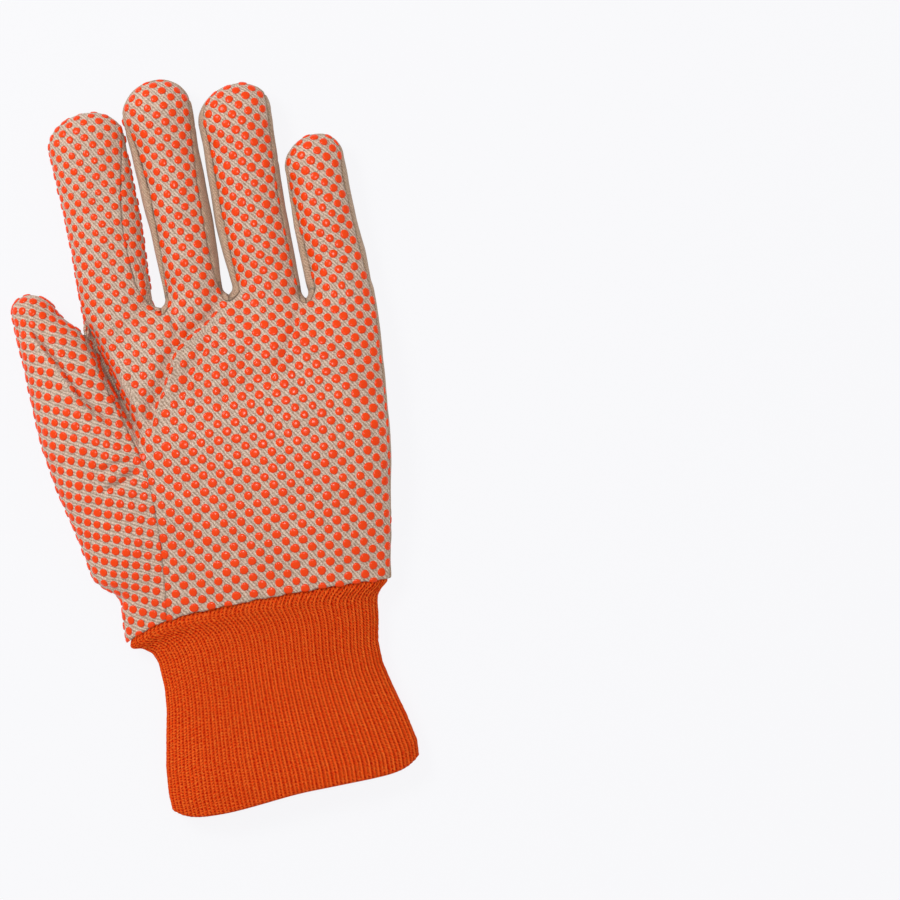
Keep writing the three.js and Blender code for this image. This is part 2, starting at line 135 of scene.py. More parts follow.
# The seam along the thumb, by y: its x on the top and on the underside
THUMB_SEAM = table(
    "y top under",
    (-67, -22.5, -45), (-55.7, -23.8, -44.4), (-39.7, -25.5, -42.8), (-23.5, -26.2, -42.7),
    (-10, -27.1, -42.9), (2, -27.4, -43.6), (17.4, -30.6, -44), (28.3, -33.5, -43.6),
    (37.1, -35.8, -42.8), (46.9, -39.3, -40.6), (50, -41.3, -41.2),
)
THUMB_SEAM_TOP = 19.0  # height that the top figures are for

# Seams down the back of the hand, by y
THUMB_BACK_SEAM = table("y x", (27, -43.6), (33.7, -46.3), (45.7, -48.2), (55.8, -51.8), (63, -57.1))
BACK_SEAMS = {
    ("index", "middle"): table(
        "y x", (-67, -20), (-35, -18), (-10, -17), (15, -16.4), (38, -15.6), (46.4, -11.4)),
    ("middle", "ring"): table(
        "y x", (-67, 12), (-30, 13.5), (-5, 15), (10, 16), (26, 17.2), (40, 16.4), (46.4, 13.1)),
    ("ring", "little"): table(
        "y x", (-67, 45), (-36, 44.8), (-12, 45.8), (10, 46), (26, 44.2), (39.6, 39.7)),
}

WRIST_SEAM = dict(y=-57.9, left_drop=5.6, left_reach=46.0, right_drop=1.9, right_reach=50.0)

# Creases in the top, each along a line: its depth, its half width to the left and to the right of the
# line, and the ridge beside it, to the left where the lift is positive and to the right where negative;
# and the shares of its length over which it fades at its start and its end
CREASES = named(
    "depth left right lift start end path",
    palm=(2.9, 0.65, 3.6, 0.6, 0.12, 0.2, [
        (12.7, 46.5), (7.8, 45.1), (2.5, 41.2), (-2.7, 39.2), (-8.6, 35), (-10.9, 31.5), (-13.4, 26.9),
        (-15.7, 21.9), (-19.6, 17), (-21.3, 12.4), (-25.5, 2.5)]),
    palm_second=(1.5, 0.8, 3, 0.4, 0.3, 0.4, [
        (9.7, 39.4), (1.8, 33.9), (-3.3, 27.1), (-6.3, 23.7), (-10.1, 15.6), (-13, 7.7)]),
    palm_third=(1, 0.8, 3, 0.3, 0.3, 0.4, [(22.6, 32.5), (17, 26.4), (9.7, 21.1), (4.6, 14), (1.8, 5.7)]),
    index_root=(1.5, 1, 1.2, 0.4, 0.4, 0.4, [(-9, 47.3), (-7.9, 42.3), (-6.6, 37.8)]),
    ring_root=(1.6, 0.7, 2.4, 0.4, 0.15, 0.4, [
        (36.7, 43.3), (36.2, 40.6), (34.9, 34.4), (32.3, 31.9), (30.9, 27.5), (27.9, 24.7), (24.5, 21.6),
        (20.1, 14.6)]),
    thumb=(2.6, 1.1, 0.5, -0.4, 0.15, 0.3, [
        (-59.5, 53.7), (-57.6, 50.2), (-50, 36.2), (-44.8, 23.4), (-39.1, 15.8), (-34.2, 7.6)]),
    thumb_root=(0.9, 0.9, 1.4, 0.3, 0.4, 0.2, [(-47.7, -2.6), (-38.6, -1.2), (-29.2, 0.2)]),
    thumb_base=(1.8, 1.3, 1.3, 0.4, 0.4, 0.3, [(-45.7, -10.6), (-36.8, -7.6), (-28.4, -3.7)]),
    ball=(9, 2.2, 1.4, 0.8, 0.13, 0.5, [
        (-39.9, 52.2), (-38.6, 47.3), (-37.2, 41.4), (-35.9, 36.5), (-33.5, 27.8), (-30.5, 17), (-27.8, 5.7),
        (-27.3, -8.1)]),
)
# The slope of the palm side down to the seam on the left of the middle, ring and little fingers
FINGER_SLOPE = dict(depth=1.7, left=3.4, right=1.2, lift=0.0, start=0.15, end=0.1)
RIDGE_PLACE = 2.1  # from a crease to the ridge beside it, by the half width to its left
RIDGE_WIDTH = 1.2
CREASE_ENDS = 0.02  # share of a crease's length at each end that keeps the plain mesh
UNEVENNESS = [(0.55, 24.0, 0.0), (0.2, 9.0, 5.0)]  # height, size and seed of the cloth's gentle waves
PUCKER = dict(height=0.3, size=3.4, reach=2.2)  # the canvas's short waves along its seams
DOT_RISE = 0.45  # how far the dots stand out, taken off where they make the outline

GRID = 0.8  # spacing of the mesh
SPACE_LOW = (-75.0, -72.0, -2.0)
SPACE_HIGH = (75.0, 132.5, 23.0)
SIDES = ([0, 1], [1, 2], [2, 0])


def smoothstep(value, low, high):
    share = np.clip((value - low) / (high - low), 0, 1)
    return share * share * (3 - 2 * share)


def between(grid, i, j):
    """The values of a grid at places between its points."""
    i, j = (np.clip(place, 0, size - 1.001) for place, size in zip((i, j), grid.shape))
    a, b = i.astype(int), j.astype(int)
    s, t = i - a, j - b
    near = (1 - t) * grid[a, b] + t * grid[a, b + 1]
    far = (1 - t) * grid[a + 1, b] + t * grid[a + 1, b + 1]
    return (1 - s) * near + s * far


def column(rows, name, blur=2.5, by="y"):
    """A column of a table as a smooth function of another."""
    steps = 5
    fine = np.arange(rows[by].min() - 4 * blur, rows[by].max() + 4 * blur, blur / steps)
    values = np.interp(fine, rows[by], rows[name])
    reach = np.arange(-3 * steps, 3 * steps + 1)
    kernel = np.exp(-0.5 * (reach / steps) ** 2)
    values = np.convolve(np.pad(values, 3 * steps, mode="edge"), kernel / kernel.sum(), mode="valid")
    return lambda place: np.interp(place, fine, values)


def squared_radius(cos, sin, power):
    """The radius of a boxy round section at a turn, 1 at its middles."""
    return (np.abs(cos) ** power + np.abs(sin) ** power) ** (-1 / power)


class Part:
    """A finger, the thumb or the palm: a row of flattened round sections along y, with a rounded tip."""

    def __init__(self, rows, power, shoulder=1e3, reach=1.0, lean=0.0):
        self.left, self.right, self.top = (column(rows, name) for name in ("left", "right", "top"))
        self.power, self.shoulder, self.reach, self.lean = power, shoulder, reach, lean
        self.start = rows["y"].min()

    def section(self, y):
        """Middle, half width, height and how far into the tip it is, from 0 to 1, at a place along y."""
        tip = np.clip((y - self.shoulder) / self.reach, 0, None)
        held = np.minimum(y, self.shoulder)
        left, right = self.left(held), self.right(held)
        middle = (left + right) / 2 + self.lean * np.clip(tip, 0, 1)
        return middle, (right - left) / 2, self.top(held), tip

    def scaled(self, x, y, z):
        """A point's place in its section, by the half width and the height from the widest line: with
        those two, the widest line and how far into the tip it is."""
        middle, half, top, tip = self.section(y)
        side = top * SIDE_SHARE
        height = np.where(z > side, top - side, FLATTEN * side)
        return (x - middle) / half, (z - side) / height, half, height, side, tip

    def field(self, x, y, z):
        """About how far a point is outside the skin, less than 0 inside it."""
        across, tall, half, height, side, tip = self.scaled(x, y, z)
        cap = np.clip(1 - tip * tip, 1e-9, 1)
        across, tall = np.abs(across), np.abs(tall) * cap**0.1
        ring = np.maximum((across**self.power + tall**self.power) ** (1 / self.power), 1e-3)
        slope_x = (across / ring) ** (self.power - 1) / half
        slope_z = (tall / ring) ** (self.power - 1) / height
        whole = np.hypot(ring, tip)
        slope = np.sqrt(ring**2 * (slope_x**2 + slope_z**2) + (tip / self.reach) ** 2) / whole
        under = side * (1 - cap**0.4) - z
        return np.maximum((whole - 1) / slope, under)

    def angle(self, x, y, z, by_plan):
        """Where a point stands round its section: 0 on the right, a quarter turn on top. By plan it comes
        from x alone, on the top for a point above the widest line and else on the underside."""
        across, up = self.scaled(x, y, z)[:2]
        flat = np.clip(across, -1, 1)
        rise = (1 - np.abs(flat) ** self.power) ** (1 / self.power)
        rise = np.where(up > 0, rise, -np.minimum(rise, 1 / FLATTEN))
        angle = np.arctan2(up, across) % math.tau
        return angle + by_plan * (np.arctan2(rise, flat) % math.tau - angle)

    def unrolled(self, y, angle):
        """How far a point lies from the middle of the top, measured round the section."""
        steps, spacing = 240, 2.0
        lines = np.arange(self.start, self.shoulder if self.shoulder < 1e3 else PALM_UNROLLED, spacing)
        turn = np.linspace(-math.tau, 2 * math.tau, 3 * steps + 1)
        half, top = (value[:, None] for value in self.section(lines)[1:3])
        side = top * SIDE_SHARE
        cos, sin = np.cos(turn), np.sin(turn)
        radius = squared_radius(cos, sin, self.power)
        radius = np.where(sin < 0, np.minimum(radius, 1 / FLATTEN / np.maximum(-sin, 1e-6)), radius)
        x = half * radius * cos
        z = radius * sin * np.where(sin > 0, top - side, FLATTEN * side)
        length = np.pad(np.hypot(np.diff(x), np.diff(z)).cumsum(axis=1), ((0, 0), (1, 0)))
        length -= length[:, [steps + steps // 4]]
        return between(length, (y - self.start) / spacing, (angle / math.tau + 1) * steps)


def finger_part(row):
    shoulder, height, neck = row["tip"] - row["reach"], row["height"], ROOT_Y[1]
    left, right = row["root"]
    rows = table(
        "y left right top",
        (START_Y, left + START_INSET, right - START_INSET, START_HEIGHT),
        *((y, left, right, height) for y in ROOT_Y),
        (neck + (shoulder - neck) * SHAFT_SHARE, *row["shaft"], height),
        (shoulder, *row["shoulder"], height),
    )
    return Part(rows, FINGER_POWER, shoulder, row["reach"], row["lean"])


PARTS = {name: finger_part(row) for name, row in FINGERS.items()}
PARTS["thumb"] = Part(THUMB, FINGER_POWER, THUMB_SHOULDER, THUMB_REACH, THUMB_LEAN)
PARTS["palm"] = Part(PALM, PALM_POWER)


def blended(a, b, width):
    """The lesser of two fields, with their meeting rounded."""
    share = np.clip(0.5 + 0.5 * (b - a) / width, 0, 1)
    return b + (a - b) * share - width * share * (1 - share)


def along_palm(x, y):
    """The y of the palm's section that a place belongs to, because its end falls back towards one side."""
    drop = FORK_DROP["drop"] * smoothstep(x, FORK_DROP["start"], FORK_DROP["end"])
    along = y
    for _ in range(4):
        along = y + drop * smoothstep(along, START_Y, PALM_END)
    return along


def skin_field(x, y, z):
    """The whole hand as one field."""
    along = along_palm(x, y)
    palm = -blended(-PARTS["palm"].field(x, along, z), PALM_END - along, FORK_BLEND)
    hand = palm
    for name in FINGERS:
        rise = DOT_RISE if name == "index" else 0.0
        finger = np.maximum(PARTS[name].field(x, y, z) + rise, START_Y - y)
        hand = np.minimum(hand, blended(palm, finger, FORK_BLEND))
    return np.maximum(blended(hand, PARTS["thumb"].field(x, y, z) + DOT_RISE, THUMB_BLEND), -z)


def spread(x, y):
    """x with the gaps between the fingers drawn wider, so that a coarse grid still parts the fingers."""
    wider, reach = 1.6, 1.3
    moved = x
    for (before, after), (_, fork) in FORKS.items():
        right = sum(PARTS[before].section(y)[:2])
        left = np.subtract(*PARTS[after].section(y)[:2])
        beside = np.tanh((x - (right + left) / 2) / reach)
        moved = moved + wider * beside * smoothstep(y, fork - 3, fork + 6)
    return moved


def lattice_sum(values, index, size):
    return np.stack([np.bincount(index, values[:, k], size) for k in range(values.shape[1])], axis=1)


def surface_net(field):
    """Points and four-sided faces on the zero surface of a field on the grid."""
    inside = field < 0
    shape = tuple(n - 1 for n in field.shape)
    unit = np.eye(3, dtype=int)
    total, count = np.zeros(shape + (3,)), np.zeros(shape)
    for axis, *corner in product(range(3), (0, 1), (0, 1)):
        low = np.insert(corner, axis, 0)
        a, b = (
            field[tuple(slice(o, o + n) for o, n in zip(start, shape))] for start in (low, low + unit[axis])
        )
        crossed = (a < 0) != (b < 0)
        place = np.zeros(shape + (3,)) + low
        place[..., axis] = np.where(crossed, a / np.where(crossed, a - b, 1), 0)
        total += np.where(crossed[..., None], place, 0)
        count += crossed
    cells = count > 0
    number = np.full(shape, -1)
    number[cells] = np.arange(cells.sum())
    points = (total[cells] / count[cells][:, None] + np.argwhere(cells)) * GRID + np.array(SPACE_LOW)
    faces = []
    for axis in range(3):
        a, b = (
            inside[tuple(slice(*ends) if k == axis else slice(1, -1) for k in range(3))]
            for ends in ((0, -1), (1, None))
        )
        for mask, order in ((a & ~b, 1), (b & ~a, -1)):
            place = np.argwhere(mask) + 1 - unit[axis]
            corners = [
                number[tuple((place + i * unit[axis - 2] + j * unit[axis - 1]).T)]
                for i, j in ((-1, -1), (0, -1), (0, 0), (-1, 0))
            ]
            faces.append(np.stack(corners[::order], axis=1))
    return points, np.vstack(faces)


def triangles(points, quads):
    """Each four-sided face cut along its shorter diagonal."""
    a, b, c, d = points[quads.T]
    shorter = np.linalg.norm(a - c, axis=1) <= np.linalg.norm(b - d, axis=1)
    first, second = quads[:, [0, 1, 2, 0, 2, 3]], quads[:, [0, 1, 3, 1, 2, 3]]
    return np.where(shorter[:, None], first, second).reshape(-1, 3)


def normals_of(points, faces):
    a, b, c = points[faces.T]
    face = np.cross(b - a, c - a)
    total = lattice_sum(np.repeat(face, 3, axis=0), faces.ravel(), len(points))
    return total / np.maximum(np.linalg.norm(total, axis=1), 1e-12)[:, None]


def edges_of(faces):
    """The sides of all triangles."""
    return np.vstack([faces[:, side] for side in SIDES])


def single_edges(faces):
    """The sides of all triangles, each once."""
    return np.unique(np.sort(edges_of(faces), axis=1), axis=0)


def relaxed(points, faces, times, free=1.0):
    """Points drawn towards the middle of their neighbours, where they are free."""
    edges = edges_of(faces)
    start, end = np.vstack([edges, edges[:, ::-1]]).T
    count = np.maximum(np.bincount(start, minlength=len(points)), 1)[:, None]
    for _ in range(times):
        mean = lattice_sum(points[end], start, len(points)) / count
        points = points + 0.5 * free * (mean - points)
    return points


def on_skin(points):
    """Points moved on to the zero surface of the hand's field."""
    probe, reach = 0.05, 0.4
    for _ in range(2):
        here = skin_field(*points.T)
        rises = [skin_field(*(points + step).T) - here for step in probe * np.eye(3)]
        slope = np.stack(rises, axis=1) / probe
        size = np.maximum((slope**2).sum(axis=1), 0.2)
        move = -(here / size)[:, None] * slope
        length = np.linalg.norm(move, axis=1)[:, None]
        points = points + move * np.minimum(1, reach / np.maximum(length, 1e-9))
    return points


def hand_skin():
    """The skin of the whole hand as points and triangles."""
    u, y, z = (np.arange(low, high, GRID) for low, high in zip(SPACE_LOW, SPACE_HIGH))
    wide = np.arange(-80, 80, 0.1)
    x = np.stack([np.interp(u, spread(wide, line), wide) for line in y])
    points, quads = surface_net(skin_field(x.T[:, :, None], y[:, None], z))
    points[:, 0] = between(x, *((points[:, k] - SPACE_LOW[k]) / GRID for k in (1, 0)))
    faces = triangles(points, quads)
    return on_skin(relaxed(on_skin(points), faces, 3)), faces


def crossings(value, edges):
    """The edges that the zero line of a field crosses, and how far along each it does."""
    a, b = edges[value[edges].prod(axis=1) < 0].T
    return a, b, value[a] / (value[a] - value[b])


def cut(points, faces, field, eligible):
    """The mesh with the triangles cut that the zero line of a field crosses, the field at its points, and
    for each triangle the one that it comes from. Points near the line are moved on to it first."""
    near = 0.3
    value = field(points)
    edges = single_edges(faces[eligible])
    a, b, share = crossings(value, edges)
    ends, others, shares = (np.concatenate(pair) for pair in ((a, b), (b, a), (share, 1 - share)))
    order = np.argsort(-shares)
    order = order[shares[order] < near]
    ends, others, shares = ends[order], others[order], shares[order]
    moved = points.copy()
    moved[ends] += shares[:, None] * (points[others] - points[ends])
    value[ends] = 0.0
    a, b, share = crossings(value, edges)
    number = {pair: len(points) + k for k, pair in enumerate(zip(a.tolist(), b.tolist()))}
    points = np.vstack([moved, moved[a] + share[:, None] * (moved[b] - moved[a])])
    value = np.concatenate([value, np.zeros(len(a))])
    signs = np.sign(value)
    split = eligible & (signs[faces].min(axis=1) < 0) & (signs[faces].max(axis=1) > 0)
    made, source = [], []
    for old in np.flatnonzero(split):
        p, q, r = faces[old].tolist()
        while signs[p] * signs[q] >= 0 or signs[r] not in (0, signs[q]):
            p, q, r = q, r, p
        m = number[min(p, q), max(p, q)]
        if signs[r] == 0:
            new = [(p, m, r), (m, q, r)]
        else:
            n = number[min(p, r), max(p, r)]
            new = [(p, m, n), (m, q, r), (m, r, n)]
        made += new
        source += [old] * len(new)
    kept = np.flatnonzero(~split)
    faces = np.vstack([faces[kept], np.array(made, int).reshape(-1, 3)])
    return points, faces, value, np.concatenate([kept, np.array(source, int)])


def side_of(value, faces):
    """The sign of a field on each triangle."""
    corner = value[faces]
    furthest = np.abs(corner).argmax(axis=1)
    return np.sign(corner[np.arange(len(faces)), furthest])


def nearest_on(path, x, y):
    """Distance to a line, positive on its left, and the share of the line's length that is passed."""
    path = np.array(path, float)
    lengths = np.linalg.norm(np.diff(path, axis=0), axis=1)
    passed = np.concatenate([[0], np.cumsum(lengths)])
    signed, share = np.full((2, len(x)), 1e9)
    for a, b, length, before in zip(path, path[1:], lengths, passed):
        along = (b - a) / length
        dx, dy = x - a[0], y - a[1]
        t = np.clip(dx * along[0] + dy * along[1], 0, length)
        distance = np.hypot(dx - t * along[0], dy - t * along[1])
        closer = distance < np.abs(signed)
        side = np.where(along[0] * dy - along[1] * dx >= 0, 1, -1)
        signed = np.where(closer, side * distance, signed)
        share = np.where(closer, (before + t) / passed[-1], share)
    return signed, share


def noise_at(points, size, seed=0.0):
    """Smooth noise from about -1 to 1 at each point, with features of a size."""
    shift = Vector((seed, 1.7 * seed, 2.3 * seed))
    return np.array([noise.noise(Vector(p) / size + shift) for p in points])


def refined(points, faces, near):
    """The mesh with the triangles cut in four whose corners are all near something, and those beside them
    to match."""
    sides = np.sort(faces[:, SIDES], axis=2).reshape(-1, 2)
    edges, inverse = np.unique(sides, axis=0, return_inverse=True)
    split = near[edges].all(axis=1)
    middles = np.where(split, len(points) + np.cumsum(split) - 1, -1)[inverse.reshape(-1, 3)]
    count = (middles >= 0).sum(axis=1)
    whole = np.hstack([faces, middles])
    quarters = whole[count == 3][:, [0, 3, 5, 3, 1, 4, 5, 4, 2, 3, 4, 5]]
    first = (middles[count == 1] >= 0).argmax(axis=1)[:, None]
    second, third = (first + 1) % 3, (first + 2) % 3
    places = np.hstack([first, first + 3, third, first + 3, second, third])
    halves = np.take_along_axis(whole[count == 1], places, axis=1)
    points = np.vstack([points, points[edges[split]].mean(axis=1)])
    return points, np.vstack([faces[count == 0], quarters.reshape(-1, 3), halves.reshape(-1, 3)])


def creased(points, faces):
    """The skin with its creases pressed in and the gentle unevenness of cloth that lies unpressed."""
    x, y, z = points.T
    near = np.zeros(len(points), bool)
    for crease in CREASES.values():
        signed, share = nearest_on(crease["path"], x, y)
        reach = np.minimum(1.6, 1.4 * np.where(signed > 0, crease["left"], crease["right"]))
        near |= (np.abs(signed) < reach) & (share > CREASE_ENDS) & (share < 1 - CREASE_ENDS) & (z > 8)
    points, faces = refined(points, faces, near)
    normals = normals_of(points, faces)
    x, y, z = points.T
    lower = np.zeros(len(points))
    down = [np.stack([rows["left"], rows["y"]], axis=1)[::-1] for rows in FINGER_SEAMS.values()]
    for crease in [*CREASES.values(), *(dict(FINGER_SLOPE, path=path) for path in down)]:
        signed, share = nearest_on(crease["path"], x, y)
        width = np.where(signed > 0, crease["left"], crease["right"])
        taper = smoothstep(share, 0, crease["start"]) * (1 - smoothstep(share, 1 - crease["end"], 1))
        ridge = math.copysign(RIDGE_PLACE * crease["left"], crease["lift"] or 1)
        beside = (signed - ridge) / crease["left"] / RIDGE_WIDTH
        lower += taper * crease["depth"] * np.exp(-((signed / width) ** 2))
        lower -= taper * abs(crease["lift"]) * np.exp(-(beside**2))
    points = points.copy()
    points[:, 2] -= lower * smoothstep(normals[:, 2], 0.1, 0.6) * smoothstep(z, 5, 8)
    rough = sum(height * noise_at(points, size, seed) for height, size, seed in UNEVENNESS)
    return points + normals * (rough * smoothstep(points[:, 2], 0.6, 5))[:, None], faces


def wrist_line(x):
    seam = WRIST_SEAM
    left = seam["left_drop"] * (x / seam["left_reach"]) ** 4
    right = seam["right_drop"] * (x / seam["right_reach"]) ** 2
    wave = 0.3 * np.sin(x * 0.83) * np.sin(x * 0.31 + 1)
    return seam["y"] + wave - np.where(x < 0, left, right)


def thumb_side(points):
    """Less than 0 on the thumb's side of the seam along the thumb."""
    x, y, z = points.T
    top, under = (column(THUMB_SEAM, name, 1.5)(y) for name in ("top", "under"))
    return x - (under + (top - under) * z / THUMB_SEAM_TOP)


def seam_round(name):
    """The seam round one finger's palm-side cloth as places in plan, from its left to its right."""
    rows, finger = FINGER_SEAMS[name], FINGERS[name]
    shoulder = finger["tip"] - finger["reach"]
    lines = np.linspace(rows["y"][0], shoulder, 24)
    left, right = (column(rows, edge, 2.0)(lines) for edge in ("left", "right"))
    turn = np.linspace(math.pi, 0, 33)[1:-1]
    to_edge = smoothstep(np.sin(turn), 0.0, 0.75)
    low, high = finger["shoulder"]
    start = np.where(np.cos(turn) < 0, left[-1], right[-1])
    edge = np.where(np.cos(turn) < 0, low + SEAM_TIP_INSET, high - SEAM_TIP_INSET)
    middle = (low + high) / 2
    half = start + to_edge * (edge - start) - middle
    x = middle + half * np.abs(np.cos(turn)) + finger["lean"] * np.sin(turn)
    over = np.stack([x, shoulder + (finger["reach"] - SEAM_TIP_INSET) * np.sin(turn)], axis=1)
    up, down = (np.stack([edge, lines], axis=1) for edge in (left, right))
    return np.vstack([up, over, down[::-1]])


def palm_outline():
    """The palm-side cloth's outline in plan, with all of the index finger inside it."""
    far = 200.0
    x, y = SLIT_START
    outline = [[(x, far), (x, y), (x + 1.2, y - 0.1)]]
    for (_, finger), (x, y) in FORKS.items():
        if finger in FORK_INSETS:
            y -= FORK_INSETS[finger]
            outline.append([(x - 1.7, y + 0.7), (x, y), (x + 1.7, y + 0.6)])
        outline.append(seam_round(finger))
    lines = np.linspace(40.0, PALM["y"][0] - 6, 40)
    edge = column(PALM, "right")(along_palm(np.full(40, 63.0), lines)) - column(EDGE_INSET, "inset")(lines)
    outline.append(np.stack([edge, lines], axis=1))
    outline.append([(edge[-1], -far), (-far, -far), (-far, far)])
    return np.vstack(outline)


def inside_outline(outline, x, y):
    """Distance to a closed outline in plan, positive inside it."""
    inside = np.zeros(len(x), bool)
    best = np.full(len(x), 1e9)
    for (ax, ay), (bx, by) in zip(outline, np.roll(outline, -1, axis=0)):
        crosses = (ay > y) != (by > y)
        inside ^= crosses & (x < (bx - ax) * (y - ay) / (by - ay if by != ay else 1e-12) + ax)
        length = max((bx - ax) ** 2 + (by - ay) ** 2, 1e-12)
        t = np.clip(((x - ax) * (bx - ax) + (y - ay) * (by - ay)) / length, 0, 1)
        best = np.minimum(best, np.hypot(x - ax - t * (bx - ax), y - ay - t * (by - ay)))
    return np.where(inside, best, -best)


def back_seam(pair, points):
    """Less than 0 to the left of a seam down the back."""
    return points[:, 0] - column(BACK_SEAMS[pair], "x", 2.0)(points[:, 1])


OUTLINE = palm_outline()


def palm_cloth_side(points):
    """More than 0 where the skin belongs to the palm-side cloth."""
    x, y, z = points.T
    return np.where(z > SEAM_LEVEL, inside_outline(OUTLINE, x, y), -back_seam(("index", "middle"), points))


class Slit:
    """A seam that closes a cloth on itself, along y. On the underside it is straight, and on the top it
    turns at the tip to follow the finger's widest line."""

    def __init__(self, rows, level, above, limit, tip=1e3):
        self.line = column(rows, "x", 0.8)
        self.low, self.high = rows["y"].min(), rows["y"].max()
        self.level, self.above, self.limit, self.tip = level, above, limit, tip

    def field(self, points):
        """Less than 0 to the left of the seam, and more than 0 past it."""
        x, y, z = points.T
        past = x - self.line(y)
        return np.maximum(past, self.level - z) if self.above else past

    def near(self, points):
        """Where the cloth is cut."""
        x, y, z = points.T
        here = (y > self.low) & (x < self.limit)
        if not self.above:
            return here & (y < self.high) & (z < self.level)
        return here & ((z > self.level - 1.5) & (x > self.line(y) - 4) | (y > self.tip))


INDEX_LEVEL = FINGERS["index"]["height"] * SIDE_SHARE
SLITS = {
    "palm": Slit(INDEX_SEAM, INDEX_LEVEL, True, SLIT_START[0], INDEX_TIP),
    "thumb": Slit(THUMB_BACK_SEAM, SEAM_LEVEL, False, -30.0),
}


def regions():
    """The hand's skin cut along its seams: points, triangles and the cloth that each belongs to."""
    points, faces = creased(*hand_skin())
    everywhere = np.ones(len(faces), bool)
    points, faces, value, _ = cut(points, faces, lambda p: p[:, 1] - wrist_line(p[:, 0]), everywhere)
    faces = faces[side_of(value, faces) > 0]
    names = np.full(len(faces), "palm", dtype="<U12")

    def part(field, eligible, name):
        nonlocal points, faces, names
        points, faces, value, source = cut(points, faces, field, eligible)
        names, chosen = names[source], eligible[source]
        names[chosen & (side_of(value, faces) < 0)] = name

    part(thumb_side, names == "palm", "thumb")
    part(palm_cloth_side, names == "palm", "back_little")
    part(lambda p: back_seam(("ring", "little"), p), names == "back_little", "back_ring")
    part(lambda p: back_seam(("middle", "ring"), p), names == "back_ring", "back_middle")
    for cloth, slit in SLITS.items():
        part(slit.field, (names == cloth) & slit.near(points[faces].mean(axis=1)), "flap")
        names[names == "flap"] = cloth
    return points, faces, names


def border_edges(faces):
    """Edges with a triangle on one side only, in the order that the triangle has them."""
    edges = edges_of(faces)
    _, first, count = np.unique(np.sort(edges, axis=1), axis=0, return_index=True, return_counts=True)
    return edges[first[count == 1]]


def distance_to_edges(points, edges, limit=8.0):
    """Distance from each point to the nearest of some edges, up to a limit."""
    a, b = points[edges.T][:, :, None]
    spots = (a + np.arange(4)[:, None] / 4 * (b - a)).reshape(-1, 3)
    tree = KDTree(len(spots))
    for i, spot in enumerate(spots):
        tree.insert(spot, i)
    tree.balance()
    return np.array([min(tree.find(p)[2], limit) for p in points])


SEAM_ROLL = (1.2, 0.55)  # how far from a seam the cloth starts to turn down, and how deep it turns
HEM_ROLL = (1.0, 0.4)
# Between these places along y, up to a fork, the flat places pass evenly from the palm to the finger
EVENED = (42.0, 60.0)
EVENED_TO = ("index", "middle")
THUMB_TURN = 28.2  # degrees that the thumb is turned in the cloth it is cut from
# Degrees that each finger is turned towards the thumb from how it is cut, and how far its cloth is drawn in
FINGER_TURN = {"index": (2.5, 0.94), "middle": (4.3, 0.99), "ring": (8.0, 1.0), "little": (10.0, 1.0)}
# The palm below the fingers: the middle of the bunched cloth, how much wider and longer it is cut, and where
BUNCHED = dict(middle=12.0, width=0.08, length=0.05, start=5.0, end=40.0)


def rolled(distance, roll):
    """How far the cloth is turned down at a distance from its edge."""
    reach, depth = roll
    near = np.clip(1 - distance / reach, 0, 1)
    return depth * (1 - np.sqrt(1 - near * near))


